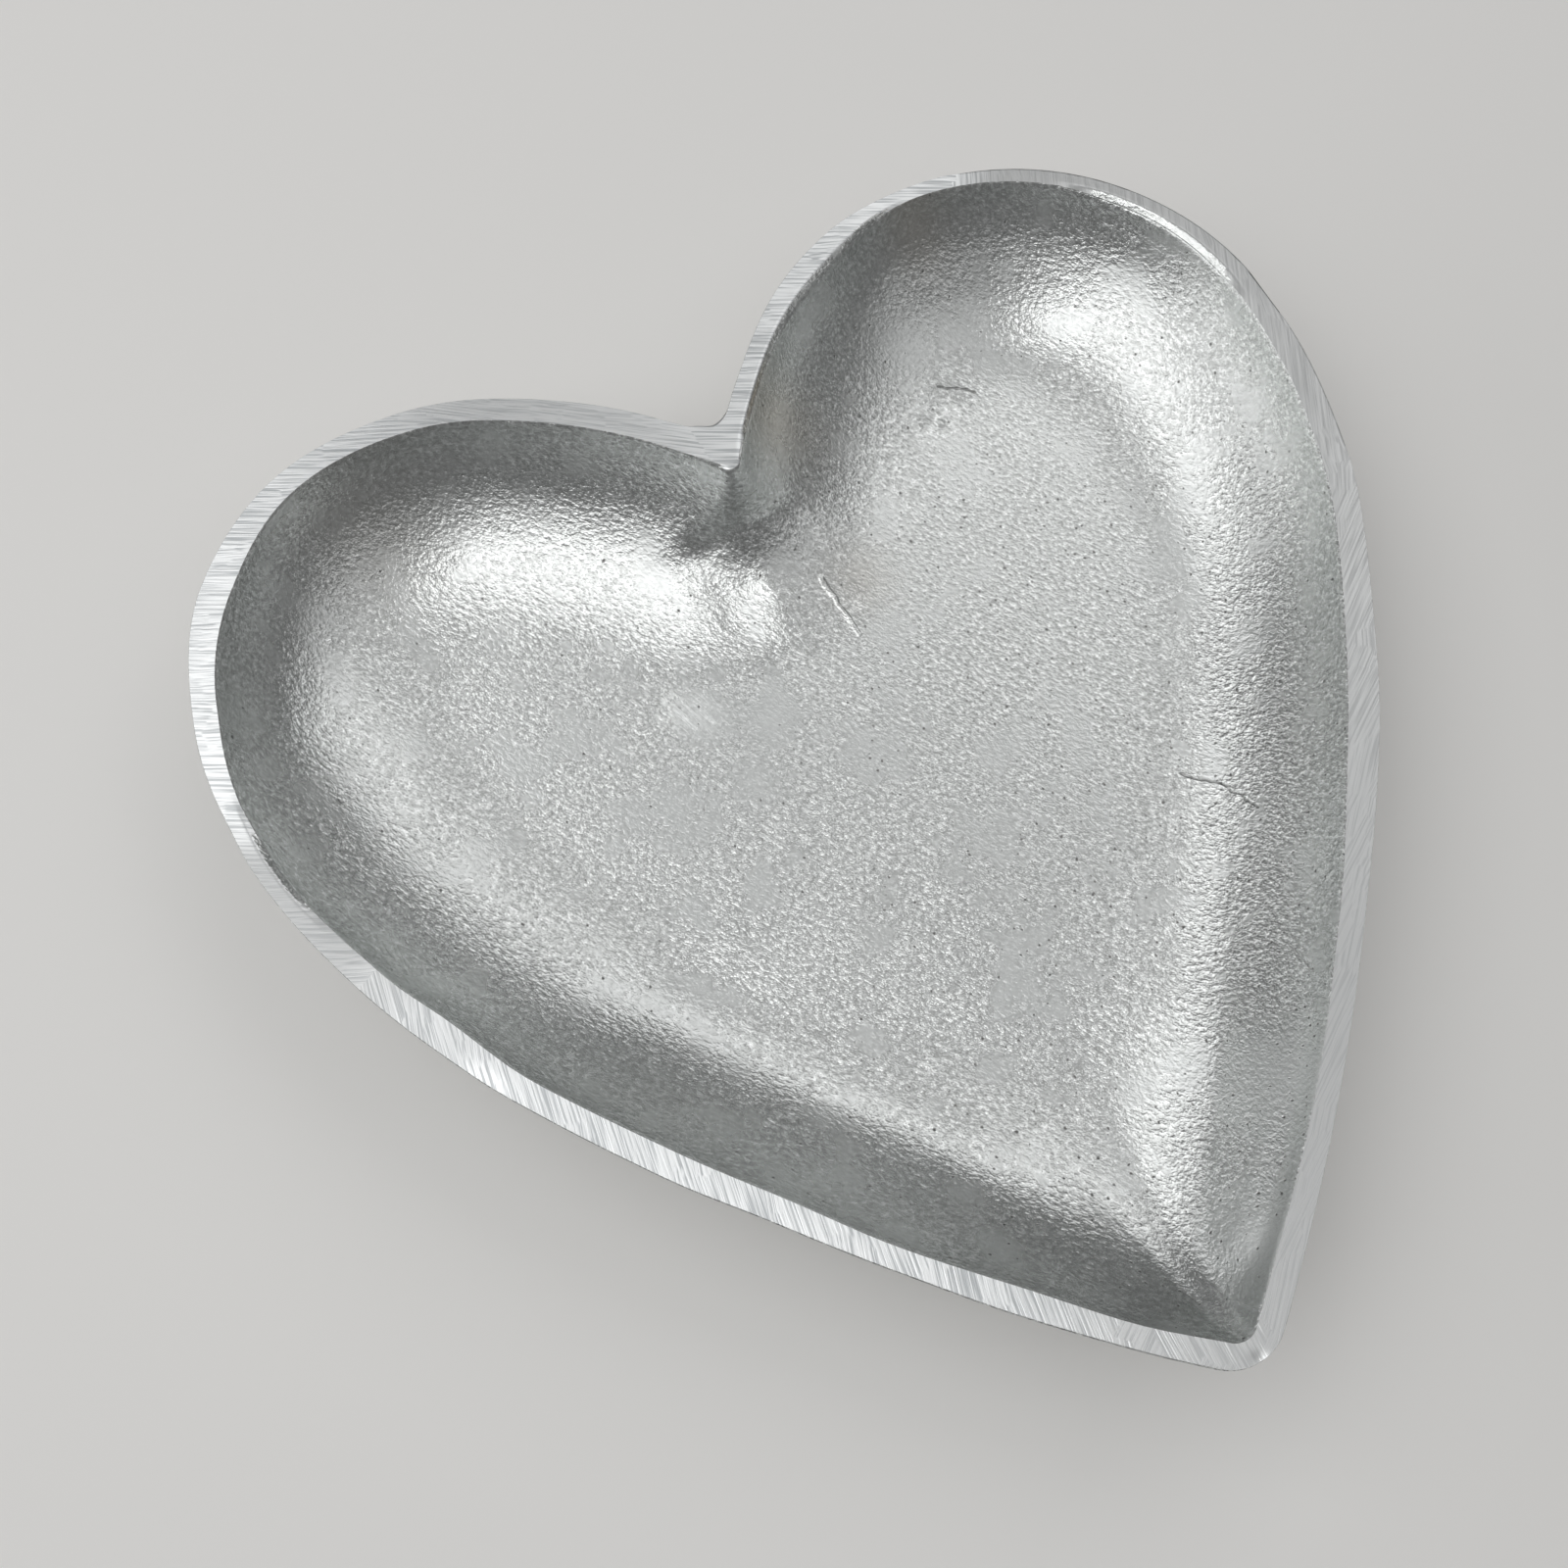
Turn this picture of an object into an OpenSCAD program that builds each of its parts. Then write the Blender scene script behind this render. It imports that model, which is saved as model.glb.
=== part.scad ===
// Heart-shaped trinket dish: a sand-cast aluminium tray with a flat ground rim, a coved inside
// and three felt pads under its base. Sizes in millimetres.
// The origin is the middle of the footprint on the table, +Y points to the lobes and +Z up.

/* [Outline] */
// Overall width across both lobes
dish_w = 200; // [190:1:212]
// Radius round each lobe
lobe_r = 47.8; // [45:0.2:52]
// Radius of the run from each lobe down into the notch
run_r = 92; // [88:1:110]
// Radius of the shoulder below each lobe
shoulder_r = 116; // [105:1:130]
// Radius of the long side down to the tip
side_r = 398; // [360:2:440]
// Direction, from the lobe's centre, in which the lobe turns into the run
run_turn = 119; // [114:0.5:124]
// Direction, from the shoulder's centre, in which the shoulder turns into the side
side_turn = -33; // [-36:0.5:-30]

/* [Corners] */
// Radius of the tip, at the rim's outer edge
tip_r = 9; // [6:0.5:12]
// Radius of the valley inside the tip, at the rim's inner edge
valley_r = 3; // [2:0.5:5]
// Growth of the valley's radius for each millimetre further in
valley_growth = 0.25; // [0.15:0.05:0.35]
// Radius in the notch, at the rim's outer edge
notch_r = 6.3; // [5:0.1:9]
// Radius of the nose behind the notch, at the rim's inner edge
nose_r = 2.2; // [1.6:0.1:5]
// How long the nose's ridge stays sharp on its way down: at 1 it widens evenly
nose_keep = 1.25; // [1:0.05:1.4]

/* [Section] */
// Thickness of the wall and of the floor
wall_t = 4.2; // [3.5:0.1:5.2]
// Depth of the inside, from the rim to the floor
inner_depth = 21; // [18:0.5:24]
// Lean of the wall at the rim, from upright
draft = 19; // [15:0.5:23]
// Width of the cove, from the rim's inner edge to where the floor is flat
cove_reach = 35.5; // [31:0.5:36.5]
// Break of the rim's two edges
edge_break = 0.4; // [0.2:0.1:0.8]

/* [Felt pads] */
// Diameter of a pad
pad_d = 12; // [8:1:14]
// Thickness of a pad
pad_t = 2; // [1:0.5:3]

/* [Hidden] */

// Section: the walls end edge_break below the rim, and the floor's edge lies base_inset in
dish_h = inner_depth + wall_t;
wall_h = dish_h - edge_break;
rim_w = wall_t / cos(draft);
base_inset = rim_w + cove_reach;

// The cove is part of an ellipse that starts level at the floor and leans by draft at the rim
cove_h = inner_depth - edge_break;
cove_turn = acos(1 / (cove_reach / (cove_h * tan(draft)) - 1));
cove_a = cove_reach / sin(cove_turn);
cove_b = cove_h / (1 - cos(cove_turn));

// Centres of the tangent arcs of the right half, with the lobes' centres on y = 0
half_w = dish_w / 2;
raw_lobe = [half_w - lobe_r, 0];
raw_shoulder = [half_w - shoulder_r, 0];
raw_run = raw_lobe + (lobe_r - run_r) * [cos(run_turn), sin(run_turn)];
raw_side = raw_shoulder + (shoulder_r - side_r) * [cos(side_turn), sin(side_turn)];
raw_tip_y = raw_side.y - sqrt((side_r - tip_r) ^ 2 - raw_side.x ^ 2) - tip_r;

// The same centres once the outline is centred on the origin
lift = [0, -(lobe_r + raw_tip_y) / 2];
lobe_c = raw_lobe + lift;
shoulder_c = raw_shoulder + lift;
run_c = raw_run + lift;
side_c = raw_side + lift;

// Steps along each arc of the half outline, and along each cove of the section
notch_steps = 4;
run_steps = 6;
lobe_steps = 20;
shoulder_steps = 8;
side_steps = 9;
tip_steps = 5;
outer_steps = 8;
inner_steps = 12;

// Points of an arc without its last one, which starts the next arc
function arc(centre, r, from, to, steps) =
    [for (i = [0:steps - 1]) let (a = from + (to - from) * i / steps) centre + r * [cos(a), sin(a)]];

// Radius of the notch on the outline that lies d in from the rim's outer edge, or of the nose behind it,
// which widens to a plain parallel of the notch at the floor
function nose_radius(d) =
    d < rim_w
        ? notch_r + (nose_r - notch_r) * d / rim_w
        : nose_r + (notch_r + base_inset - nose_r) * ((d - rim_w) / cove_reach) ^ nose_keep;

// Radius of the tip on that outline, or of the valley inside it
function corner_radius(d) =
    d < rim_w
        ? tip_r + (valley_r - tip_r) * d / rim_w
        : valley_r + valley_growth * (d - rim_w);

// Height, on the axis, of the centre of that tip or valley
function corner_y(d) = side_c.y - sqrt((side_r - d - corner_radius(d)) ^ 2 - side_c.x ^ 2);

// Right half of that outline, from the notch on the axis to the tip on the axis
function half_outline(d) =
    let (
        nose = nose_radius(d),
        corner = corner_radius(d),
        nose_y = run_c.y + sqrt((run_r - d + nose) ^ 2 - run_c.x ^ 2),
        nose_turn = atan2(nose_y - run_c.y, -run_c.x),
        corner_turn = atan2(corner_y(d) - side_c.y, -side_c.x)
    )
    concat(
        arc([0, nose_y], nose, -90, nose_turn - 180, notch_steps),
        arc(run_c, run_r - d, nose_turn, run_turn, run_steps),
        arc(lobe_c, lobe_r - d, run_turn, 0, lobe_steps),
        arc(shoulder_c, shoulder_r - d, 0, side_turn, shoulder_steps),
        arc(side_c, side_r - d, side_turn, corner_turn, side_steps),
        arc([0, corner_y(d)], corner, corner_turn, -90, tip_steps),
        [[0, corner_y(d) - corner]]
    );

// Whole outline, clockwise from the notch
function outline(d) =
    let (right = half_outline(d), last = len(right) - 1)
    concat(right, [for (i = [last - 1:-1:1]) [-right[i].x, right[i].y]]);

// Point of the cove, [inset, height], at a turn from 0 at the floor to cove_turn at the rim
function cove(turn) = [base_inset - cove_a * sin(turn), wall_t + cove_b * (1 - cos(turn))];

// Point of the outside behind it, one wall's thickness away
function cove_back(turn) =
    let (out = [cove_b * sin(turn), cove_a * cos(turn)])
    cove(turn) - wall_t * out / norm(out);

// Section from the base's edge up the outside, over the rim and down the inside: [inset, height]
function section() =
    concat(
        [for (i = [0:outer_steps]) cove_back(cove_turn * i / outer_steps)],
        [
            [0, wall_h],
            [edge_break, dish_h],
            [rim_w - edge_break, dish_h]
        ],
        [for (i = [inner_steps:-1:0]) cove(cove_turn * i / inner_steps)]
    );

// Solid skinned over one outline for each point of the section
module skin(section) {
    rings = [for (s = section) [for (p = outline(s[0])) [p.x, p.y, s[1]]]];
    n = len(rings[0]);
    last = len(rings) - 1;
    points = [for (ring = rings) each ring];
    walls = [for (i = [0:last - 1], k = [0:n - 1])
        let (next = (k + 1) % n, low = i * n, high = low + n)
        each [[low + k, low + next, high + next], [low + k, high + next, high + k]]];
    base = [for (k = [n - 1:-1:0]) k];
    floor_face = [for (k = [0:n - 1]) last * n + k];
    polyhedron(points, concat([base], walls, [floor_face]), convexity = 6);
}

// The casting
module dish() {
    color([0.74, 0.75, 0.76])
        translate([0, 0, pad_t])
            skin(section());
}

// A felt pad, stuck to the flat base
module felt_pad(place) {
    color([0.2, 0.2, 0.22])
        translate(place)
            cylinder(h = pad_t, d = pad_d, $fn = 64);
}

module felt_pad_left() {
    felt_pad([-lobe_c.x, lobe_c.y]);
}

module felt_pad_right() {
    felt_pad(lobe_c);
}

module felt_pad_tip() {
    felt_pad([0, corner_y(base_inset)]);
}

dish();
felt_pad_left();
felt_pad_right();
felt_pad_tip();
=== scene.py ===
import math
from types import SimpleNamespace

import bmesh
import bpy
from mathutils import Matrix, Vector, noise


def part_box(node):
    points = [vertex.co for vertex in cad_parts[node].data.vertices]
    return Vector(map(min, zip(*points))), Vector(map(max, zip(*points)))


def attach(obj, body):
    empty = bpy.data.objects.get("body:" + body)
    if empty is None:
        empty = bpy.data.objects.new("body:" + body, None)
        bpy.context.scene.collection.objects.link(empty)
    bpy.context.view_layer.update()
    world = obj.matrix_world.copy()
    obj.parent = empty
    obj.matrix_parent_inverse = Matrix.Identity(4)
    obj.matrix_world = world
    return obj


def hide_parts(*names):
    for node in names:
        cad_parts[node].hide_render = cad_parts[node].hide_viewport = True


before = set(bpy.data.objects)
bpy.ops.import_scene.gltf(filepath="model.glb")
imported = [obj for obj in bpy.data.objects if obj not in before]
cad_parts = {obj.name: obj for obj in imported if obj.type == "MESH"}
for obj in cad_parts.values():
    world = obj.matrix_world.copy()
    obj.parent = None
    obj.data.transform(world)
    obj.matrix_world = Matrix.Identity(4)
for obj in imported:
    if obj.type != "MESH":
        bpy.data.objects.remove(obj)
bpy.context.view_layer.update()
scene = bpy.context.scene
scene.view_settings.view_transform = "Standard"
print("frame loaded:", ", ".join(sorted(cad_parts)))


def mix(a, b, t):
    return a + (b - a) * t


def ramp(x, low, high):
    # smooth step from 0 at low to 1 at high
    t = min(max((x - low) / (high - low), 0.0), 1.0)
    return t * t * (3.0 - 2.0 * t)


def window(x, low, high, soft):
    # 1 between low and high, with soft ends
    return ramp(x, low, low + soft) * (1.0 - ramp(x, high - soft, high))


def hump(x, middle, halfWidth):
    return math.exp(-((x - middle) / halfWidth) ** 2)


def alongTable(table, x):
    # smooth values between rows that each start with their own x
    for first, second in zip(table, table[1:]):
        if x <= second[0]:
            t = ramp(x, first[0], second[0])
            return [mix(a, b, t) for a, b in zip(first[1:], second[1:])]
    return list(table[-1][1:])


def selectOnly(piece):
    bpy.ops.object.select_all(action="DESELECT")
    piece.select_set(True)
    bpy.context.view_layer.objects.active = piece


# Camera and light

cameraView = {
    "place": (-0.05813, -0.06254, 0.26219),
    "back": (-0.15703, -0.28428, 0.94580),  # from the dish towards the lens
    "up": (0.46715, 0.88418, 0.0),
    "lens": 36.0,
    "sensor": 36.0,
}
viewUp = Vector(cameraView["up"])
viewRight = viewUp.cross(Vector((0.0, 0.0, 1.0)))


def setCamera(view):
    bpy.ops.object.camera_add()
    camera = bpy.context.object
    camera.name = "photoCamera"
    back = Vector(view["back"]).normalized()
    right = Vector(view["up"]).cross(back).normalized()
    up = back.cross(right)
    turn = Matrix((right, up, back)).transposed().to_4x4()
    camera.matrix_world = Matrix.Translation(view["place"]) @ turn
    camera.data.lens = view["lens"]
    camera.data.sensor_width = view["sensor"]
    camera.data.sensor_fit = "HORIZONTAL"
    scene.camera = camera


# zenith and azimuth in degrees as the camera sees the dish: 0 is right, 90 beyond, 180 left
studio = {
    "aim": (0.0, 0.0, 0.015),
    "distance": 1.2,
    "lights": [
        {"name": "overheadSoftbox", "zenith": 15.0, "azimuth": 245.0, "size": (0.5, 0.5), "level": 1.7},
        {"name": "ceilingSoftbox", "zenith": 0.0, "azimuth": 0.0, "size": (2.2, 2.2), "level": 0.24},
        {"name": "rightSoftbox", "zenith": 40.0, "azimuth": 4.0, "size": (0.6, 0.55), "level": 0.32},
        {"name": "leftSoftbox", "zenith": 36.0, "azimuth": 182.0, "size": (1.4, 0.75), "level": 1.15},
        {"name": "lowSoftbox", "zenith": 72.0, "azimuth": 180.0, "size": (1.0, 0.45), "level": 1.1},
        {"name": "farSoftbox", "zenith": 43.0, "azimuth": 66.0, "size": (1.0, 0.65), "level": 0.82},
    ],
    "world": 0.16,
    "floorColor": (0.90, 0.89, 0.87),
    "floorRough": 0.8,
    "floorSize": 4.0,
}


def addLight(light):
    zenith = math.radians(light["zenith"])
    azimuth = math.radians(light["azimuth"])
    flat = viewRight * math.cos(azimuth) + viewUp * math.sin(azimuth)
    place = (flat * math.sin(zenith) + Vector((0, 0, math.cos(zenith)))) * studio["distance"]
    bpy.ops.object.light_add(type="AREA", location=place)
    lamp = bpy.context.object
    lamp.name = light["name"]
    lamp.data.shape = "RECTANGLE"
    lamp.data.size, lamp.data.size_y = light["size"]
    lamp.data.energy = light["level"] * math.pi * light["size"][0] * light["size"][1]
    lamp.rotation_euler = (Vector(studio["aim"]) - place).to_track_quat("-Z", "Y").to_euler()


def setStudio():
    for light in studio["lights"]:
        addLight(light)
    world = bpy.data.worlds.new("studioWorld")
    world.use_nodes = True
    level = studio["world"]
    world.node_tree.nodes["Background"].inputs["Color"].default_value = (level, level, level, 1.0)
    scene.world = world


setCamera(cameraView)
setStudio()
print("camera and light set")


# Shader nodes: what comes from another node is linked, and a number, vector or colour is set

noiseMiddle = 0.5


def feed(tree, socket, value):
    if isinstance(value, (int, float, tuple)):
        socket.default_value = value
    else:
        tree.links.new(value, socket)


def addNode(tree, kind, values=None, **settings):
    node = tree.nodes.new(kind)
    for key, setting in settings.items():
        setattr(node, key, setting)
    for key, value in (values or {}).items():
        feed(tree, node.inputs[key], value)
    return node


def calc(tree, operation, a, b, clamp=False):
    return addNode(tree, "ShaderNodeMath", {0: a, 1: b}, operation=operation, use_clamp=clamp).outputs[0]


def calcVector(tree, operation, *values, out="Vector"):
    node = addNode(tree, "ShaderNodeVectorMath", dict(enumerate(values)), operation=operation)
    return node.outputs[out]


def turned(tree, vector, angle):
    node = addNode(tree, "ShaderNodeVectorRotate", {"Vector": vector, "Angle": angle}, rotation_type="Z_AXIS")
    return node.outputs["Vector"]


def addNoise(tree, vector, scale, detail, rough):
    return addNode(tree, "ShaderNodeTexNoise",
                   {"Vector": vector, "Scale": scale, "Detail": detail, "Roughness": rough})


def band(tree, value, limits, results=(0.0, 1.0)):
    # smooth map of a value from between the limits to between the results
    node = addNode(tree, "ShaderNodeMapRange",
                   {"Value": value, "From Min": limits[0], "From Max": limits[1],
                    "To Min": results[0], "To Max": results[1]},
                   interpolation_type="SMOOTHSTEP")
    return node.outputs["Result"]


def blendColors(tree, factor, first, second, blend="MIX"):
    # the Mix node's colour sockets share their names, so they are taken by number
    first, second = (c + (1.0,) if isinstance(c, tuple) else c for c in (first, second))
    values = {0: factor, 6: first, 7: second}
    return addNode(tree, "ShaderNodeMix", values, data_type="RGBA", blend_type=blend).outputs[2]


def readAttribute(tree, name):
    return addNode(tree, "ShaderNodeAttribute", attribute_name=name).outputs["Fac"]


def newGroup(name, vectors, values, results):
    tree = bpy.data.node_groups.new(name, "ShaderNodeTree")
    for key in vectors:
        tree.interface.new_socket(key, in_out="INPUT", socket_type="NodeSocketVector")
    for key, value in values.items():
        tree.interface.new_socket(key, in_out="INPUT", socket_type="NodeSocketFloat").default_value = value
    for key in results:
        tree.interface.new_socket(key, in_out="OUTPUT", socket_type="NodeSocketFloat")
    return tree, tree.nodes.new("NodeGroupInput").outputs, tree.nodes.new("NodeGroupOutput").inputs


def placeGroup(tree, group, values):
    node = tree.nodes.new("ShaderNodeGroup")
    node.node_tree = group
    for key, value in values.items():
        feed(tree, node.inputs[key], value)
    return node.outputs


def newMaterial(name):
    material = bpy.data.materials.new(name)
    material.use_nodes = True
    return material, material.node_tree, material.node_tree.nodes["Principled BSDF"].inputs


def objectPlace(tree):
    return addNode(tree, "ShaderNodeTexCoord").outputs["Object"]


def addBump(tree, shader, height, look):
    bump = addNode(tree, "ShaderNodeBump",
                   {"Strength": look["bumpStrength"], "Distance": look["bumpDistance"], "Height": height})
    tree.links.new(bump.outputs["Normal"], shader["Normal"])


# Sand-cast skin: fine grain with painted glints on its brightest flecks, smooth islands, small dark pits and
# the marks of use

castGrain = {
    "drawnAngle": 1.01,  # the grain is a little drawn out along this direction
    "drawnOut": (0.68, 1.0, 1.0),
    "detail": 2.0,
    "rough": 0.62,
    "islandScale": 95.0,
    "islandRough": 0.6,
    "islandBand": (0.46, 0.72),
    "islandShare": 0.5,
    "islandCalm": 0.85,  # how much of the grain is gone on an island
    "pitScale": 640.0,
    "pitRagged": 0.0006,
    "pitLeast": 0.08,
    "pitSpread": 0.14,
    "pitDepth": 0.6,
}


def castGrainGroup():
    tree, start, end = newGroup(
        "castGrain", ["Vector"], {"Grain Scale": 1000.0, "Smooth": 0.0, "Pitting": 0.0},
        ["Height", "Pits", "Islands", "Flecks"])
    place = start["Vector"]
    drawn = calcVector(tree, "MULTIPLY", turned(tree, place, castGrain["drawnAngle"]), castGrain["drawnOut"])
    grain = addNoise(tree, drawn, start["Grain Scale"], castGrain["detail"], castGrain["rough"]).outputs

    clouds = addNoise(tree, place, castGrain["islandScale"], castGrain["detail"], castGrain["islandRough"])
    patchy = band(tree, clouds.outputs["Fac"], castGrain["islandBand"])
    islands = calc(tree, "MAXIMUM", calc(tree, "MULTIPLY", patchy, castGrain["islandShare"]), start["Smooth"])
    grainLeft = calc(tree, "SUBTRACT", 1.0, calc(tree, "MULTIPLY", islands, castGrain["islandCalm"]))
    flecks = calc(tree, "MULTIPLY", calc(tree, "SUBTRACT", grain["Fac"], noiseMiddle), grainLeft)

    ragged = calcVector(tree, "MULTIPLY_ADD", grain["Color"], (castGrain["pitRagged"],) * 3, place)
    cells = addNode(
        tree, "ShaderNodeTexVoronoi", {"Vector": ragged, "Scale": castGrain["pitScale"], "Randomness": 1.0},
        feature="F1").outputs
    chance = addNode(tree, "ShaderNodeSeparateColor", {"Color": cells["Color"]}).outputs
    picked = calc(tree, "LESS_THAN", chance["Red"], start["Pitting"])
    spread = calc(tree, "MULTIPLY", chance["Green"], castGrain["pitSpread"])
    wide = calc(tree, "ADD", spread, castGrain["pitLeast"])
    deep = calc(tree, "SUBTRACT", 1.0, calc(tree, "DIVIDE", cells["Distance"], wide), clamp=True)
    pits = calc(tree, "MULTIPLY", picked, deep, clamp=True)
    height = calc(tree, "SUBTRACT", flecks, calc(tree, "MULTIPLY", pits, castGrain["pitDepth"]))

    for key, result in (("Height", height), ("Pits", pits), ("Islands", islands), ("Flecks", flecks)):
        tree.links.new(result, end[key])
    return tree


grindLines = {
    "layers": [  # scale along and across the belt, share
        (60.0, 2300.0, 0.6),
        (120.0, 5200.0, 0.4),
    ],
    "detail": 1.0,
    "rough": 0.6,
}


def grindLinesGroup():
    # straight lines of a grinding belt that runs in a given direction
    tree, start, end = newGroup("grindLines", ["Vector"], {"Direction": 0.0, "Seed": 0.0}, ["Lines"])
    level = turned(tree, start["Vector"], calc(tree, "MULTIPLY", start["Direction"], -1.0))
    moved = calcVector(tree, "ADD", level, start["Seed"])
    lines = 0.0
    for along, across, share in grindLines["layers"]:
        stretched = calcVector(tree, "MULTIPLY", moved, (along, across, 0.0))
        layer = addNoise(tree, stretched, 1.0, grindLines["detail"], grindLines["rough"]).outputs["Fac"]
        lines = calc(tree, "ADD", calc(tree, "MULTIPLY", layer, share), lines)
    tree.links.new(lines, end["Lines"])
    return tree


def markDistanceGroup():
    # distance of a point from a straight mark
    tree, start, end = newGroup("markDistance", ["Vector", "From", "To"], {}, ["Distance"])
    off = calcVector(tree, "SUBTRACT", start["Vector"], start["From"])
    run = calcVector(tree, "SUBTRACT", start["To"], start["From"])
    along = calcVector(tree, "DOT_PRODUCT", off, run, out="Value")
    whole = calcVector(tree, "DOT_PRODUCT", run, run, out="Value")
    nearest = calcVector(tree, "MULTIPLY", run, calc(tree, "DIVIDE", along, whole, clamp=True))
    tree.links.new(calcVector(tree, "DISTANCE", off, nearest, out="Value"), end["Distance"])
    return tree


marks = {
    # place seen from above, radius in metres, height in bump units, darkness
    "dents": [
        ((0.0470, 0.0668, 0.0), 0.0048, -1.5, 0.0),
        ((0.0411, 0.0645, 0.0), 0.0022, -1.0, 0.0),
        ((0.0436, 0.0638, 0.0), 0.0014, 0.9, 0.0),
        ((0.0505, 0.0655, 0.0), 0.0016, -0.8, 0.0),
        ((-0.0839, 0.0441, 0.0), 0.0008, -1.0, 0.7),
    ],
    # from, to, half width, height, darkness
    "lines": [
        ((0.0082, 0.0452, 0.0), (0.0096, 0.0330, 0.0), 0.0007, 0.8, 0.0),
        ((0.0468, 0.0704, 0.0), (0.0528, 0.0668, 0.0), 0.00030, -0.8, 0.6),
        ((0.0455, -0.0160, 0.0), (0.0495, -0.0211, 0.0), 0.00028, -0.8, 0.6),
        ((0.0495, -0.0211, 0.0), (0.0516, -0.0282, 0.0), 0.00025, -0.8, 0.5),
    ],
    "core": 0.15,  # share of a mark's width that has its full depth
    "wobble": 0.0014,
    "wobbleScale": 420.0,
    "wobbleDetail": 1.0,
    "wobbleRough": 0.5,
    "scuffAngle": -1.25,
    "scuffSeed": 1.3,
    "scuffHeight": 0.8,
}


def placeMarks(tree, place, distance):
    # height and darkness of all marks together, as seen from above
    wobble = marks["wobble"]
    rough = addNoise(tree, place, marks["wobbleScale"], marks["wobbleDetail"], marks["wobbleRough"])
    centred = calcVector(tree, "SUBTRACT", place, (wobble / 2,) * 3)
    moved = calcVector(tree, "MULTIPLY_ADD", rough.outputs["Color"], (wobble,) * 3, centred)
    above = calcVector(tree, "MULTIPLY", moved, (1.0, 1.0, 0.0))
    found = []
    for middle, *size in marks["dents"]:
        found.append((calcVector(tree, "DISTANCE", above, middle, out="Value"), *size))
    for first, last, *size in marks["lines"]:
        mark = placeGroup(tree, distance, {"Vector": above, "From": first, "To": last})
        found.append((mark["Distance"], *size))
    height = 0.0
    dark = 0.0
    for away, width, deep, shade in found:
        here = band(tree, away, (width * marks["core"], width), (1.0, 0.0))
        height = calc(tree, "ADD", calc(tree, "MULTIPLY", here, deep), height)
        if shade > 0:
            dark = calc(tree, "MAXIMUM", calc(tree, "MULTIPLY", here, shade), dark)
    inside = calc(tree, "MAXIMUM", readAttribute(tree, "wallSide"), 0.0)
    return calc(tree, "MULTIPLY", height, inside), calc(tree, "MULTIPLY", dark, inside)


castSkin = {
    "light": (0.768, 0.786, 0.778),
    "dark": (0.553, 0.566, 0.556),
    # painted glint: near-white colour on the brightest flecks, standing in for sparkle off the grain
    "paintedGlint": (0.92, 0.935, 0.93),
    "smooth": (0.76, 0.777, 0.77),
    "warm": (0.62, 0.57, 0.50),
    "pitColor": (0.20, 0.195, 0.19),
    "pitShade": 1.6,
    "grainScale": 1450.0,
    "fleckBand": (-0.16, 0.14),
    "paintedGlintBand": (0.06, 0.17),
    "bumpDistance": 0.00020,
    "bumpStrength": 1.0,
    "rough": (0.25, 0.42),  # on the grain, on the islands
}


def makeCastSkin(grain, lines, distance):
    material, tree, shader = newMaterial("castSkin")
    place = objectPlace(tree)
    skin = placeGroup(tree, grain, {
        "Vector": place, "Grain Scale": castSkin["grainScale"],
        "Smooth": readAttribute(tree, "smoothSkin"), "Pitting": readAttribute(tree, "pitting")})
    markHeight, markDark = placeMarks(tree, place, distance)

    flecks = band(tree, skin["Flecks"], castSkin["fleckBand"])
    # the brightest flecks get a painted glint in their colour
    paintedGlints = band(tree, skin["Flecks"], castSkin["paintedGlintBand"])
    tint = blendColors(tree, flecks, castSkin["dark"], castSkin["light"])
    tint = blendColors(tree, paintedGlints, tint, castSkin["paintedGlint"])
    tint = blendColors(tree, skin["Islands"], tint, castSkin["smooth"])
    tint = blendColors(tree, readAttribute(tree, "warmTint"), tint, castSkin["warm"])
    pitDark = calc(tree, "MULTIPLY", skin["Pits"], castSkin["pitShade"], clamp=True)
    darkness = calc(tree, "MAXIMUM", pitDark, markDark)
    tree.links.new(blendColors(tree, darkness, tint, castSkin["pitColor"]), shader["Base Color"])
    tree.links.new(band(tree, skin["Islands"], (0.0, 1.0), castSkin["rough"]), shader["Roughness"])

    scuffs = placeGroup(tree, lines, {
        "Vector": place, "Direction": marks["scuffAngle"], "Seed": marks["scuffSeed"]})
    scratches = calc(tree, "SUBTRACT", scuffs["Lines"], noiseMiddle)
    scuffed = calc(tree, "MULTIPLY", scratches, readAttribute(tree, "scuff"))
    height = calc(tree, "ADD", skin["Height"], calc(tree, "MULTIPLY", scuffed, marks["scuffHeight"]))
    addBump(tree, shader, calc(tree, "ADD", height, markHeight), castSkin)
    shader["Metallic"].default_value = 1.0
    return material


# Rim, ground on a belt in two directions that take turns in patches

groundRim = {
    "light": (0.84, 0.855, 0.857),
    "dark": (0.50, 0.52, 0.53),
    "middling": (0.76, 0.768, 0.763),
    "firstSeed": 0.0,
    "secondSeed": 3.7,
    "patchScale": 120.0,
    "patchDetail": 2.0,
    "patchRough": 0.5,
    "patchBand": (0.52, 0.60),
    "lineBand": (0.40, 0.54),
    "bumpDistance": 0.00010,
    "bumpStrength": 0.6,
    "roughBand": (0.35, 0.65),
    "rough": (0.42, 0.30),  # in the lines, between them
}


def beltPass(tree, lines, place, way, seed):
    values = {"Vector": place, "Direction": readAttribute(tree, way), "Seed": seed}
    return placeGroup(tree, lines, values)["Lines"]


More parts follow.
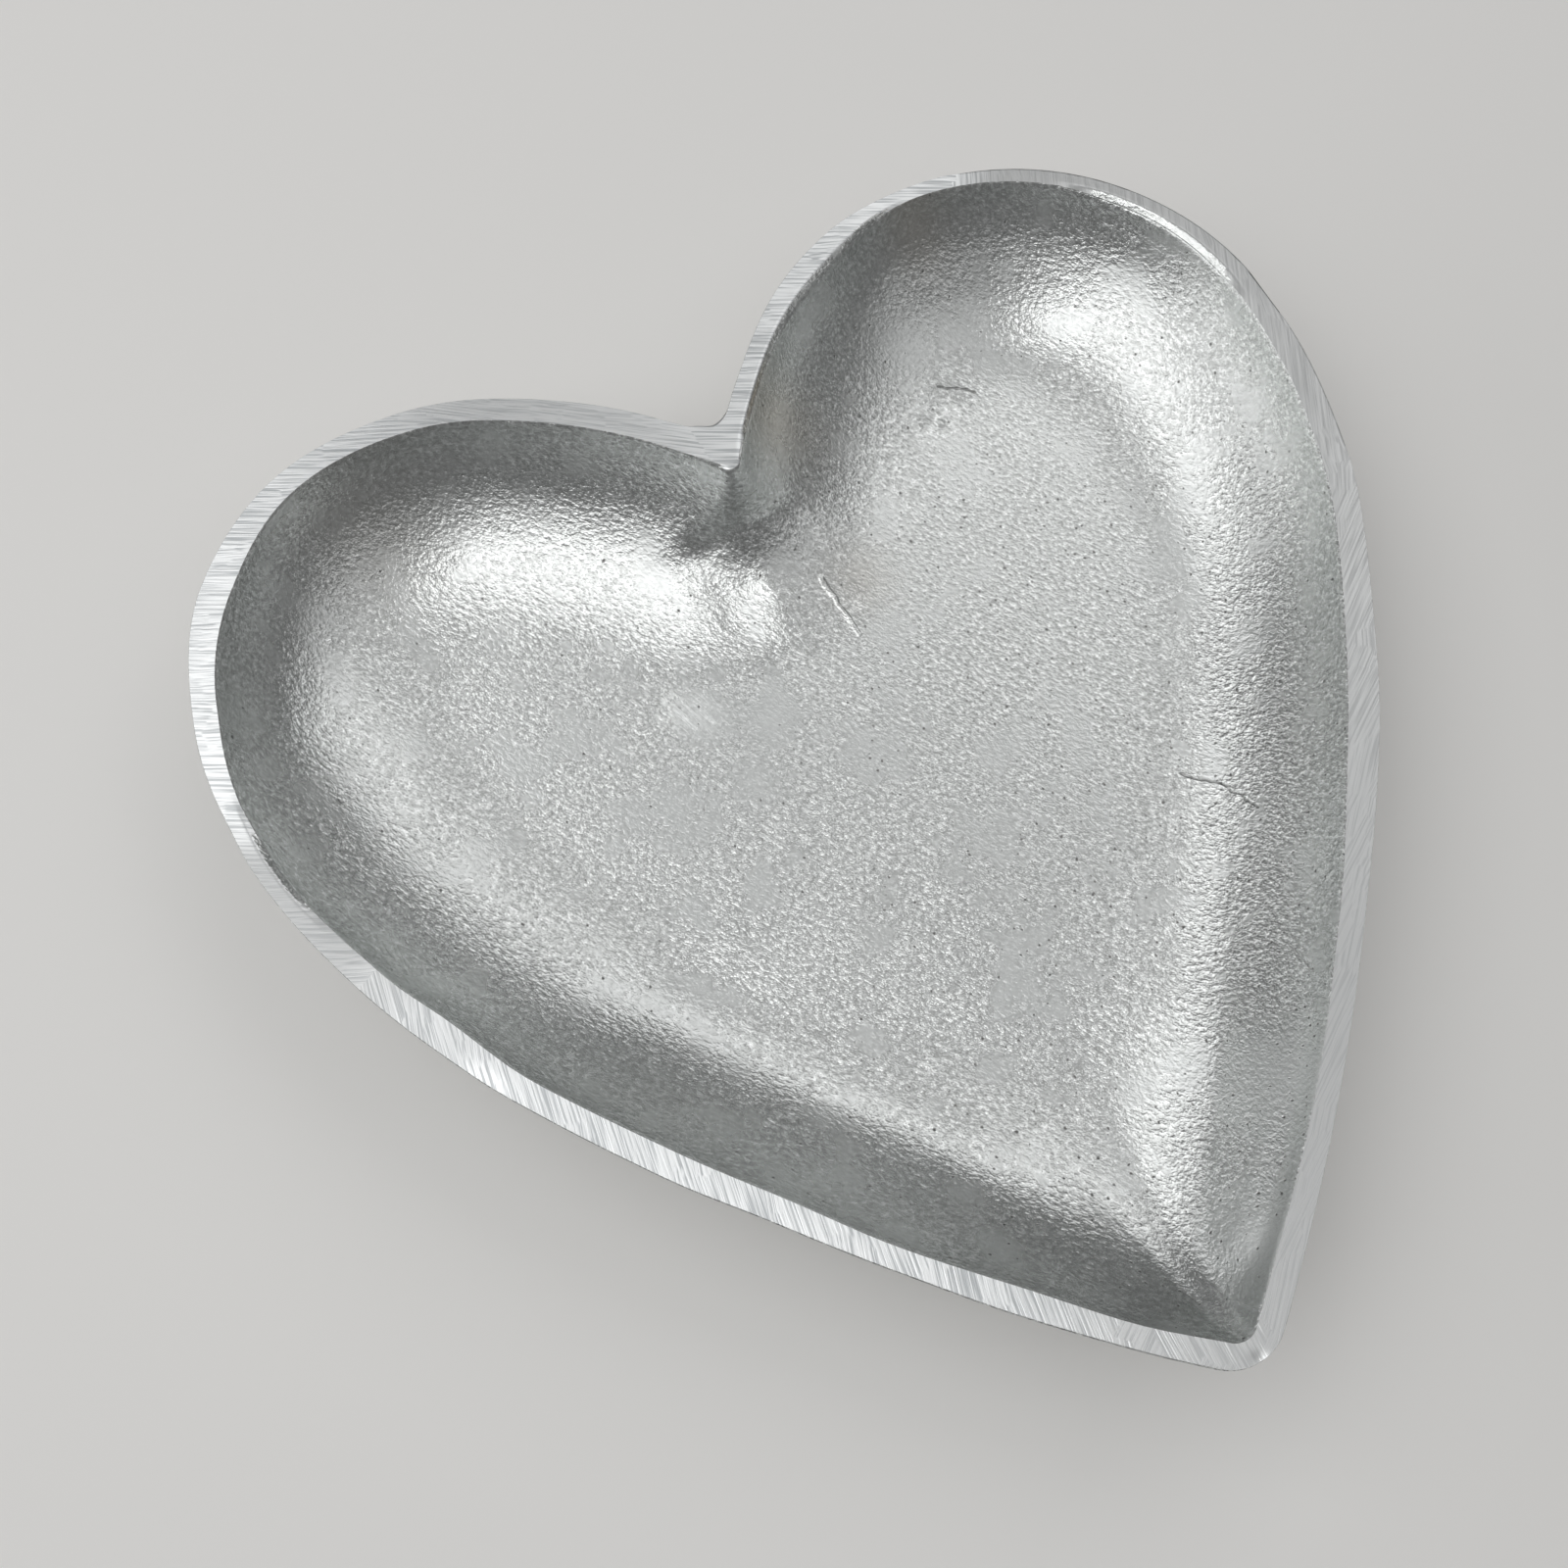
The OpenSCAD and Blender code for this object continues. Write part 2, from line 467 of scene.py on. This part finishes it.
def makeGroundRim(lines):
    material, tree, shader = newMaterial("groundRim")
    place = objectPlace(tree)
    first = beltPass(tree, lines, place, "grindFirst", groundRim["firstSeed"])
    second = beltPass(tree, lines, place, "grindSecond", groundRim["secondSeed"])
    clouds = addNoise(tree, place, groundRim["patchScale"], groundRim["patchDetail"], groundRim["patchRough"])
    patches = band(tree, clouds.outputs["Fac"], groundRim["patchBand"])
    level = addNode(tree, "ShaderNodeMix", {0: patches, 2: first, 3: second}, data_type="FLOAT").outputs[0]

    raised = band(tree, level, groundRim["lineBand"])
    streaks = blendColors(tree, raised, groundRim["dark"], groundRim["light"])
    tint = blendColors(tree, readAttribute(tree, "rimStreak"), groundRim["middling"], streaks)
    # painted light: the rim's colour is multiplied by a painted reflection that makes it brighter or darker
    # round the rim
    paintedLit = blendColors(tree, 1.0, tint, readAttribute(tree, "rimPaintedLight"), "MULTIPLY")
    tree.links.new(paintedLit, shader["Base Color"])
    tree.links.new(band(tree, level, groundRim["roughBand"], groundRim["rough"]), shader["Roughness"])
    addBump(tree, shader, level, groundRim)
    shader["Metallic"].default_value = 1.0
    return material


# Felt and floor

feltLook = {
    "color": (0.055, 0.055, 0.062),
    "fibre": (0.14, 0.14, 0.15),
    "layers": [(0.4, 900.0), (1.5, 760.0), (2.6, 1040.0)],  # direction and scale of the fibres
    "stretch": (0.16, 1.0, 1.0),
    "detail": 2.0,
    "noiseRough": 0.6,
    "fibreBand": (0.5, 0.8),
    "bumpDistance": 0.0004,
    "bumpStrength": 0.7,
    "rough": 0.95,
    "sheen": 0.5,
}


def makeFelt():
    material, tree, shader = newMaterial("pressedFelt")
    place = objectPlace(tree)
    fibres = 0.0
    for angle, scale in feltLook["layers"]:
        stretched = calcVector(tree, "MULTIPLY", turned(tree, place, angle), feltLook["stretch"])
        layer = addNoise(tree, stretched, scale, feltLook["detail"], feltLook["noiseRough"]).outputs["Fac"]
        fibres = calc(tree, "MAXIMUM", layer, fibres)
    tint = blendColors(tree, band(tree, fibres, feltLook["fibreBand"]), feltLook["color"], feltLook["fibre"])
    tree.links.new(tint, shader["Base Color"])
    addBump(tree, shader, fibres, feltLook)
    shader["Roughness"].default_value = feltLook["rough"]
    shader["Sheen Weight"].default_value = feltLook["sheen"]
    return material


def makeFloorPaint():
    material, tree, shader = newMaterial("paleFloor")
    feed(tree, shader["Base Color"], studio["floorColor"] + (1.0,))
    feed(tree, shader["Roughness"], studio["floorRough"])
    return material


beltLines = grindLinesGroup()
castSkinMaterial = makeCastSkin(castGrainGroup(), beltLines, markDistanceGroup())
groundRimMaterial = makeGroundRim(beltLines)
feltMaterial = makeFelt()
print("materials made")

bpy.ops.object.select_all(action="DESELECT")
bpy.ops.mesh.primitive_plane_add(size=studio["floorSize"], location=(0, 0, 0))
floor = bpy.context.object
floor.name = "paleFloor"
floor.data.materials.append(makeFloorPaint())
print("floor laid")


# Casting: the welded copy of its solid, in quads, with a gridded floor and base, then smoothed

casting = {
    "wall": 0.0042,
    "rimWidth": 0.00444,
    "edgeBreak": 0.0004,
    "weld": 0.000002,
    "near": 0.00001,
    "exact": 0.0000001,
    "flat": 0.9999,  # least upright share of a flat face's normal
    "facingUp": 0.02,
    "cornerTop": 20,  # loop steps from the notch to the upper corners of the gridded floor
    "relax": 120,
    "relaxBy": 0.5,
    "rimCuts": 2,
    "levels": 2,
}
dishLow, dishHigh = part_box("dish")
baseZ = dishLow[2]
floorZ = baseZ + casting["wall"]
rimZ = dishHigh[2]


def isAt(v, height):
    return abs(v.co.z - height) < casting["near"]


def flatAt(face, height):
    return abs(face.normal.z) > casting["flat"] and all(isAt(v, height) for v in face.verts)


def levelEdges(bm):
    # edges that run round the dish, without those across the rim's flat
    level = [e for e in bm.edges if abs(e.verts[0].co.z - e.verts[1].co.z) < casting["exact"]]
    return [e for e in level if not all(flatAt(f, rimZ) for f in e.link_faces)]


def walkRings(edges):
    # the closed rings of these edges, each a list of vertices clockwise from the notch
    links = {}
    for e in edges:
        for v in e.verts:
            links.setdefault(v, []).append(e.other_vert(v))
    rings = []
    for start in links:
        if abs(start.co.x) > casting["exact"] or start.co.y < 0:
            continue
        ring = [start, max(links[start], key=lambda v: v.co.x)]
        for count in range(len(links)):
            step = [v for v in links[ring[-1]] if v is not ring[-2]][0]
            if step is start:
                break
            ring.append(step)
        rings.append(ring)
    return rings


def joinQuads(piece):
    # the lines that slant from one ring to the next go
    bm = bmesh.from_edit_mesh(piece.data)
    rings = walkRings(levelEdges(bm))
    place = {v: (r, k) for r, ring in enumerate(rings) for k, v in enumerate(ring)}
    bpy.ops.mesh.select_all(action="DESELECT")
    for e in bm.edges:
        (ringA, a), (ringB, b) = (place[v] for v in e.verts)
        if ringA != ringB and a != b:
            e.select_set(True)
    bmesh.update_edit_mesh(piece.data)
    bpy.ops.mesh.dissolve_edges(use_verts=False, use_face_split=False)


def gridFill(piece, height):
    # an even grid over an open ring, relaxed so that no face folds
    bm = bmesh.from_edit_mesh(piece.data)
    ring = walkRings([e for e in bm.edges if e.is_boundary and isAt(e.verts[0], height)])[0]
    count = len(ring)
    top = casting["cornerTop"]
    side = count // 2 - top
    bpy.ops.mesh.select_mode(type="EDGE")
    bpy.ops.mesh.select_all(action="DESELECT")
    for first, last in ((-top, top), (side, count - side)):
        for i in range(first, last):
            bm.edges.get((ring[i % count], ring[(i + 1) % count])).select_set(True)
    bm.select_flush_mode()
    bmesh.update_edit_mesh(piece.data)
    bpy.ops.mesh.fill_grid(use_interp_simple=True)
    bpy.ops.mesh.select_mode(type="VERT")
    bpy.ops.mesh.select_all(action="DESELECT")
    bm = bmesh.from_edit_mesh(piece.data)
    for v in bm.verts:
        if all(isAt(w, height) for e in v.link_edges for w in e.verts):
            v.select_set(True)
    bmesh.update_edit_mesh(piece.data)
    bpy.ops.mesh.vertices_smooth(factor=casting["relaxBy"], repeat=casting["relax"])


def noteSection(piece):
    # keeps for each point how far it lies in from the outer edge, which way is in, its side of the wall
    # (1 inside, -1 outside, 0 on the rim) and its half of the rim
    bm = bmesh.from_edit_mesh(piece.data)
    inset = bm.verts.layers.float.new("inset")
    inward = bm.verts.layers.float_vector.new("inward")
    side = bm.verts.layers.float.new("wallSide")
    over = bm.verts.layers.float.new("overRim")
    rings = walkRings(levelEdges(bm))
    rings.sort(key=lambda ring: max(v.co.x for v in ring))
    innermost = rings[0]
    outermost = rings[-1]
    for ring in rings:
        for v, edge, deep in zip(ring, outermost, innermost):
            v[inward] = Vector((deep.co.x - edge.co.x, deep.co.y - edge.co.y, 0.0)).normalized()
            v[inset] = Vector((v.co.x - edge.co.x, v.co.y - edge.co.y)).length
            v[over] = 0.0 if v[inset] < casting["rimWidth"] / 2 else 1.0
            v[side] = 1.0 if v.normal.z > casting["facingUp"] else -1.0
            if v[inset] < casting["rimWidth"] / 4:
                v[side] = -1.0
            if isAt(v, rimZ):
                v[side] = 0.0
    for v in bm.verts:
        if isAt(v, floorZ):
            v[side] = 1.0
        if isAt(v, baseZ):
            v[side] = -1.0
    bmesh.update_edit_mesh(piece.data)


def creaseRim(piece):
    # the four edges of the rim stay crisp
    bm = bmesh.from_edit_mesh(piece.data)
    crease = bm.edges.layers.float.get("crease_edge") or bm.edges.layers.float.new("crease_edge")
    for e in levelEdges(bm):
        if e.verts[0].co.z > rimZ - casting["edgeBreak"] - casting["near"]:
            e[crease] = 1.0
    bmesh.update_edit_mesh(piece.data)


def splitRim(piece):
    # more rows across the rim's flat, so that its edges stay tight
    bm = bmesh.from_edit_mesh(piece.data)
    bpy.ops.mesh.select_mode(type="EDGE")
    bpy.ops.mesh.select_all(action="DESELECT")
    for e in bm.edges:
        if all(isAt(v, rimZ) for v in e.verts) and all(flatAt(f, rimZ) for f in e.link_faces):
            e.select_set(True)
    bmesh.update_edit_mesh(piece.data)
    bpy.ops.mesh.subdivide(number_cuts=casting["rimCuts"])
    bpy.ops.mesh.select_mode(type="FACE")


def makeCasting():
    dish = bpy.data.objects.new("castDish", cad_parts["dish"].data.copy())
    bpy.context.collection.objects.link(dish)
    dish.data.materials.clear()
    selectOnly(dish)
    bpy.ops.object.mode_set(mode="EDIT")
    bpy.ops.mesh.select_mode(type="FACE")
    bpy.ops.mesh.select_all(action="SELECT")
    bpy.ops.mesh.remove_doubles(threshold=casting["weld"])
    bpy.ops.mesh.select_all(action="DESELECT")
    bm = bmesh.from_edit_mesh(dish.data)
    for face in bm.faces:
        if flatAt(face, baseZ) or flatAt(face, floorZ):
            face.select_set(True)
    bmesh.update_edit_mesh(dish.data)
    bpy.ops.mesh.delete(type="FACE")
    joinQuads(dish)
    noteSection(dish)
    creaseRim(dish)
    splitRim(dish)
    for height in (floorZ, baseZ):
        gridFill(dish, height)
    bpy.ops.mesh.select_all(action="SELECT")
    bpy.ops.mesh.normals_make_consistent(inside=False)
    bpy.ops.object.mode_set(mode="OBJECT")
    smooth = dish.modifiers.new("smoothSkin", "SUBSURF")
    smooth.levels = smooth.render_levels = casting["levels"]
    bpy.ops.object.modifier_apply(modifier=smooth.name)
    return dish


dish = makeCasting()
print("casting smoothed:", len(dish.data.polygons), "faces")


# Hand work: ground edges, an uneven wall, broken edges and small hollows

millimetre = 0.001
shaping = {
    "middle": (0.0, 0.010),
    "edges": [  # direction from the middle in degrees, how far the outer and inner edge lie further in, in mm
        (-180, 0.2, -0.2), (-172, 0.2, 0.4), (-161, -0.3, -0.8), (-143, -0.2, -0.5), (-130, 0.4, -0.2),
        (-117, 0.3, -0.8), (-106, -0.1, -0.6), (-97, -0.2, -1.2), (-90, 0.2, -0.3), (-70, 0.0, -0.9),
        (-54, 0.0, -0.4), (-28, -0.4, 0.4), (-10, 0.6, 1.0), (6, -0.3, 0.2), (16, -0.6, -0.1),
        (39, 0.0, -0.9), (59, 0.0, -1.6), (67, -0.5, -0.4), (73, -0.8, -0.8), (83, 0.1, -0.2),
        (89, 0.4, -0.4), (92, -0.5, -0.3), (97, -0.2, 0.2), (111, 0.5, 0.5), (118, 0.4, 0.2),
        (130, -0.7, -0.7), (140, -0.3, 0.5), (151, 0.9, 0.6), (161, 0.1, -1.2), (166, -0.3, -1.4),
        (180, 0.2, -0.2),
    ],
    "grow": 0.00002,  # makes good what smoothing takes off the outer edge
    "tight": 0.00012,  # what is left of the rim's broken edges
    "innerFade": 0.010,
    "outerFade": 0.014,
    "chamfers": [  # broken inner edge between two directions
        {"from": 57.0, "to": 89.0, "width": 0.0010, "depth": 0.0007},
        {"from": 21.0, "to": 45.0, "width": 0.0012, "depth": 0.0008},
        {"from": 159.0, "to": 174.0, "width": 0.0012, "depth": 0.0007},
    ],
    "chamferSoft": 6.0,
    "chamferFade": 0.002,
    "tilts": [  # belt facets: how far the rim's outer and inner edge lie lower
        {"from": 3.0, "to": 55.0, "outer": 0.00028, "inner": 0.0},
        {"from": 163.0, "to": 180.0, "outer": 0.0, "inner": 0.00022},
    ],
    "tiltSoft": 2.0,
    "hollows": [  # the cove's foot is lower along the left side and a little along the right
        {"from": -172.0, "to": -92.0, "middle": 0.025, "half": 0.011, "deep": 0.0014},
        {"from": -76.0, "to": 60.0, "middle": 0.025, "half": 0.011, "deep": 0.0006},
    ],
    "hollowSoft": 18.0,
    "noseSlide": {"by": -0.0011, "half": 0.007, "from": 0.034, "to": 0.064, "soft": 0.008},
    "noseCut": {"half": 0.009, "from": 0.036, "peak": 0.057, "to": 0.0620, "deep": 0.0048},
    "ridge": {"x": -0.0012, "wide": 0.009, "round": 0.0006, "high": 0.0016,
              "from": 0.036, "to": 0.064, "soft": 0.009},
    "facet": {  # flat stretch of the right wall near the tip
        "foot": [(0.0360, -0.0440), (0.0200, -0.0640), (0.0159, -0.0691), (0.0102, -0.0745),
                 (0.0046, -0.0832), (0.0030, -0.0880)],
        "width": 0.013,
        "fill": 0.0016,
        "ends": (-0.05, 1.05),  # along the foot, which runs from 0 to 1
        "soft": 0.3,
        "fadeFrom": 0.008,  # depth below the rim where the facet starts to fade
        "fadeTo": 0.001,
    },
    "floorWave": 0.00010,
    "floorWaveScale": 34.0,
    "floorWaveLayer": 0.7,
    "coveWave": 0.00022,
    "coveWaveScale": 45.0,
    "waveDepth": (0.007, 0.016),
    "nicks": [(-0.0804, -0.0128, 0.0016, 0.0005), (0.0, -0.0990, 0.0012, 0.0003)],  # x, y, radius, depth
    "nickReach": 0.003,
    "sideLimit": 0.25,  # wallSide past which a point is inside or outside
    "rimSkin": 0.0001,  # what lies this little below the rim still belongs to it
    "leastWay": 0.01,  # a point with a shorter way in, as on the floor, isn't shifted
    "sharpFrom": 24.0,
}


def directionOf(point):
    return math.degrees(math.atan2(point.y - shaping["middle"][1], point.x - shaping["middle"][0]))


def blob(point, x, y, radius):
    return math.exp(-((point.x - x) ** 2 + (point.y - y) ** 2) / radius ** 2)


def readSpots(mesh):
    # where each point lies on the dish before anything moves
    names = ("inset", "inward", "wallSide", "overRim")
    inset, inward, side, over = (mesh.attributes[name].data for name in names)
    spots = []
    for i, v in enumerate(mesh.vertices):
        part = "rim"
        if side[i].value < -shaping["sideLimit"]:
            part = "outside"
        elif side[i].value > shaping["sideLimit"] and v.co.z < rimZ - shaping["rimSkin"]:
            part = "inside"
        way = Vector(inward[i].vector)
        way = way.normalized() if way.length > shaping["leastWay"] else Vector((0.0, 0.0, 0.0))
        spots.append(SimpleNamespace(x=v.co.x, y=v.co.y, z=v.co.z, direction=directionOf(v.co), part=part,
                                     way=way, depth=inset[i].value, across=over[i].value))
    return spots


def edgeShift(spot):
    # how far the wandering edges take a point further in
    outer, inner = (offset * millimetre for offset in alongTable(shaping["edges"], spot.direction))
    outer -= shaping["grow"]
    if spot.part == "outside":
        return outer * ramp(spot.z, rimZ - shaping["outerFade"], rimZ)
    if spot.part == "inside":
        fadeEnd = casting["rimWidth"] + shaping["innerFade"]
        return inner * (1.0 - ramp(spot.depth, casting["rimWidth"], fadeEnd))
    crisp = casting["edgeBreak"] - shaping["tight"]
    return mix(outer, inner, spot.across) + mix(-1.0, 1.0, spot.across) * crisp


def edgeDrop(spot):
    # broken stretches of the inner edge, and belt facets on the rim
    drop = 0.0
    for cut in shaping["chamfers"]:
        amount = window(spot.direction, cut["from"], cut["to"], shaping["chamferSoft"]) * cut["depth"]
        if spot.part == "inside":
            drop += amount * max(0.0, 1.0 - (spot.depth - casting["rimWidth"]) / shaping["chamferFade"])
        elif spot.part == "rim":
            drop += amount * max(0.0, 1.0 - (1.0 - spot.across) * casting["rimWidth"] / cut["width"])
    if spot.part == "rim":
        for tilt in shaping["tilts"]:
            here = window(spot.direction, tilt["from"], tilt["to"], shaping["tiltSoft"])
            drop += here * mix(tilt["outer"], tilt["inner"], spot.across)
    return drop


def nickDrop(spot):
    if spot.z <= rimZ - shaping["nickReach"]:
        return 0.0
    return sum(deep * blob(spot, x, y, radius) for x, y, radius, deep in shaping["nicks"])


def noseDrop(spot):
    # behind the rim the nose falls steeply, inside and outside alike
    if spot.part == "rim":
        return 0.0
    cut = shaping["noseCut"]
    steep = ramp(spot.y, cut["from"], cut["peak"]) * (1.0 - ramp(spot.y, cut["peak"], cut["to"]))
    return cut["deep"] * hump(spot.x, shaping["noseSlide"]["by"], cut["half"]) * steep


def noseSlide(spot):
    slide = shaping["noseSlide"]
    here = window(spot.y, slide["from"], slide["to"], slide["soft"])
    return slide["by"] * hump(spot.x, 0.0, slide["half"]) * here


def hollowDrop(spot):
    drop = 0.0
    for hollow in shaping["hollows"]:
        here = window(spot.direction, hollow["from"], hollow["to"], shaping["hollowSoft"])
        drop += hollow["deep"] * here * hump(spot.depth, hollow["middle"], hollow["half"])
    return drop


def ridgeRise(spot):
    ridge = shaping["ridge"]
    away = math.hypot(spot.x + shaping["noseSlide"]["by"] - ridge["x"], ridge["round"])
    crest = max(0.0, 1.0 - away / ridge["wide"])
    return ridge["high"] * crest * window(spot.y, ridge["from"], ridge["to"], ridge["soft"])


def pastFoot(x, y):
    # how far a point lies past the foot of the right wall, towards the wall, and how far along the foot
    best = None
    foot = shaping["facet"]["foot"]
    for i, (a, b) in enumerate(zip(foot, foot[1:])):
        run = Vector((b[0] - a[0], b[1] - a[1]))
        t = min(max(Vector((x - a[0], y - a[1])).dot(run) / run.length_squared, 0.0), 1.0)
        off = Vector((x - a[0], y - a[1])) - run * t
        side = run.x * off.y - run.y * off.x
        if best is None or off.length < best[0]:
            best = (off.length, math.copysign(off.length, side), (i + t) / (len(foot) - 1))
    return best[1], best[2]


def facetRise(spot, x):
    facet = shaping["facet"]
    past, along = pastFoot(x, spot.y)
    share = min(max(past / facet["width"], 0.0), 1.0)
    belowRim = 1.0 - ramp(spot.z, rimZ - facet["fadeFrom"], rimZ - facet["fadeTo"])
    bulge = 4.0 * share * (1.0 - share)  # 1 half way up the facet
    return facet["fill"] * bulge * window(along, *facet["ends"], facet["soft"]) * belowRim


def floorWave(spot):
    scale = shaping["floorWaveScale"]
    return shaping["floorWave"] * noise.noise((spot.x * scale, spot.y * scale, shaping["floorWaveLayer"]))


def coveWave(spot):
    scale = shaping["coveWaveScale"]
    return shaping["coveWave"] * noise.noise((spot.x * scale, spot.y * scale, spot.z * scale))


def shapeByHand(piece):
    for v, spot in zip(piece.data.vertices, readSpots(piece.data)):
        shift = edgeShift(spot)
        drop = noseDrop(spot) + edgeDrop(spot) + nickDrop(spot)
        if spot.part == "inside":
            v.co.x += noseSlide(spot)
            wavy = ramp(spot.depth, *shaping["waveDepth"])
            shift += coveWave(spot) * wavy
            drop += hollowDrop(spot) - ridgeRise(spot) - floorWave(spot) * wavy - facetRise(spot, v.co.x)
        v.co += spot.way * shift
        v.co.z -= drop
        for axis in range(3):
            v.co[axis] = min(max(v.co[axis], dishLow[axis]), dishHigh[axis])
    piece.data.update()


shapeByHand(dish)
selectOnly(dish)
bpy.ops.object.shade_smooth_by_angle(angle=math.radians(shaping["sharpFrom"]))
print("casting shaped by hand")


# Finish of the casting: the belt's directions round the rim, the painted light that makes the rim brighter or
# darker round it as a painted reflection of the lamps, and patches of the cast skin

rimFinishAndPaintedLight = {
    "zones": [  # from this direction on: the belt's first and second way, in degrees
        {"from": -180.0, "first": 82.0, "second": 74.0},
        {"from": -99.0, "first": 88.0, "second": 32.0},
        {"from": -88.0, "first": 32.0, "second": 44.0},
        {"from": -20.0, "first": 36.0, "second": 58.0},
        {"from": 3.0, "first": 62.0, "second": 74.0},
        {"from": 54.0, "first": -28.0, "second": -22.0},
        {"from": 93.0, "first": -36.0, "second": -30.0},
        {"from": 116.0, "first": -28.0, "second": -24.0},
    ],
    "paintedLight": [  # direction: brightness of the painted light on the ground metal, a painted reflection that is bright or dull round the rim, how clear its lines are
        (-180, 0.90, 0.6), (-172, 1.02, 0.9), (-160, 1.12, 1.0), (-106, 1.12, 1.0), (-99, 1.08, 0.6),
        (-88, 1.04, 0.4), (-50, 0.93, 0.4), (-20, 0.79, 0.35), (0, 0.69, 0.25), (20, 0.65, 0.2),
        (49, 0.67, 0.25), (54, 0.98, 0.9), (89, 0.98, 0.9), (100, 0.94, 0.6), (113, 0.95, 0.7),
        (122, 1.12, 1.0), (160, 1.12, 0.9), (166, 0.88, 0.5), (180, 0.90, 0.6),
    ],
    "edgeRound": 0.0005,
    "facingUp": 0.85,
}
skinBlobs = {
    # x, y, radius in metres and amount
    "smoothSkin": [(-0.0225, 0.0318, 0.006, 0.55), (-0.0116, 0.0256, 0.005, 0.6),
                   (-0.0337, 0.0199, 0.005, 0.55), (-0.0201, 0.0168, 0.005, 0.5),
                   (0.0192, 0.0404, 0.005, 0.5), (0.0429, 0.0801, 0.007, 0.6),
                   (0.0280, -0.0684, 0.010, 0.7), (0.0105, -0.0870, 0.008, 0.8)],
    "scuff": [(-0.0235, 0.0330, 0.005, 1.0), (-0.0265, 0.0365, 0.004, 0.6)],
    "pitting": [(0.045, -0.02, 0.04, 0.60), (0.01, -0.06, 0.04, 0.80), (0.05, 0.03, 0.04, 0.50),
                (0.0, 0.0, 0.2, 0.14)],
    "warmTint": [(0.0100, 0.0704, 0.007, 0.35), (0.0149, 0.0724, 0.007, 0.3), (0.0537, 0.0950, 0.006, 0.4),
                 (0.0151, 0.0422, 0.006, 0.25), (-0.060, 0.088, 0.012, 0.15)],
}


def newLayers(mesh, domain, names):
    for name in names:
        mesh.attributes.new(name, "FLOAT", domain)
    return [mesh.attributes[name].data for name in names]


def paintSkin(mesh):
    for layer, blobs in zip(newLayers(mesh, "POINT", skinBlobs), skinBlobs.values()):
        for i, v in enumerate(mesh.vertices):
            total = sum(amount * blob(v.co, x, y, radius) for x, y, radius, amount in blobs)
            layer[i].value = min(total, 1.0)


def paintRim(mesh):
    # the first layer is painted light, a painted reflection that brightens or darkens the rim round the dish;
    # the second is how clear its lines are
    paintedRimLight, streak = newLayers(mesh, "POINT", ("rimPaintedLight", "rimStreak"))
    for i, v in enumerate(mesh.vertices):
        paintedRimLight[i].value, streak[i].value = alongTable(rimFinishAndPaintedLight["paintedLight"], directionOf(v.co))
    first, second = newLayers(mesh, "FACE", ("grindFirst", "grindSecond"))
    for i, face in enumerate(mesh.polygons):
        direction = directionOf(face.center)
        zone = [z for z in rimFinishAndPaintedLight["zones"] if direction >= z["from"]][-1]
        first[i].value = math.radians(zone["first"])
        second[i].value = math.radians(zone["second"])


def giveMaterials(mesh):
    # cast skin first, and the ground metal on what faces up at the rim's height
    mesh.materials.append(castSkinMaterial)
    mesh.materials.append(groundRimMaterial)
    for face in mesh.polygons:
        onRim = face.normal.z > rimFinishAndPaintedLight["facingUp"] and face.center.z > rimZ - rimFinishAndPaintedLight["edgeRound"]
        face.material_index = 1 if onRim else 0


paintSkin(dish.data)
paintRim(dish.data)
giveMaterials(dish.data)
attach(dish, "root")
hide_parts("dish")
print("casting finished")


# Felt pads

feltPad = {
    "nodes": ("felt_pad_left", "felt_pad_right", "felt_pad_tip"),
    "sides": 96,
    "edge": 0.00045,
    "edgeSegments": 3,
    "insets": (0.0006, 0.0008, 0.0012, 0.0014, 0.0010),
    "fuzz": 0.00007,
    "fuzzScale": 2600.0,
    "fuzzFrom": 0.7,  # share of the radius past which the fuzz draws the rim in
    "sagFrom": 0.55,  # and past which it draws the faces in
    "sag": 0.5,
    "sharpFrom": 50.0,
}


def selectEnds(pad):
    # the round end faces of a disc
    bpy.ops.mesh.select_mode(type="FACE")
    bpy.ops.mesh.select_all(action="DESELECT")
    bm = bmesh.from_edit_mesh(pad.data)
    for face in bm.faces:
        face.select_set(len(face.verts) > 4)
    bmesh.update_edit_mesh(pad.data)


def makeFeltPad(node):
    low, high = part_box(node)
    radius = (high[0] - low[0]) / 2
    height = high[2] - low[2]
    middle = [(a + b) / 2 for a, b in zip(low, high)]
    bpy.ops.object.select_all(action="DESELECT")
    bpy.ops.mesh.primitive_cylinder_add(
        vertices=feltPad["sides"], radius=radius, depth=height, location=middle)
    pad = bpy.context.object
    pad.name = node + "Cut"
    bpy.ops.object.transform_apply(location=True, rotation=True, scale=True)
    bpy.ops.object.mode_set(mode="EDIT")
    selectEnds(pad)
    bpy.ops.mesh.region_to_loop()
    bpy.ops.mesh.bevel(offset=feltPad["edge"], segments=feltPad["edgeSegments"], affect="EDGES")
    selectEnds(pad)
    for inset in feltPad["insets"]:
        bpy.ops.mesh.inset(thickness=inset)
    bpy.ops.object.mode_set(mode="OBJECT")
    for v in pad.data.vertices:
        out = Vector((v.co.x - middle[0], v.co.y - middle[1], 0.0))
        fuzz = feltPad["fuzz"] * (1.0 + noise.noise(v.co * feltPad["fuzzScale"]))
        sag = fuzz * feltPad["sag"] * ramp(out.length, radius * feltPad["sagFrom"], radius)
        v.co -= out.normalized() * fuzz * ramp(out.length, radius * feltPad["fuzzFrom"], radius)
        v.co.z += math.copysign(sag, middle[2] - v.co.z)
    pad.data.update()
    selectOnly(pad)
    bpy.ops.object.shade_smooth_by_angle(angle=math.radians(feltPad["sharpFrom"]))
    return pad


for node in feltPad["nodes"]:
    pad = makeFeltPad(node)
    pad.data.materials.append(feltMaterial)
    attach(pad, "root")
    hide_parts(node)
print("felt pads laid")
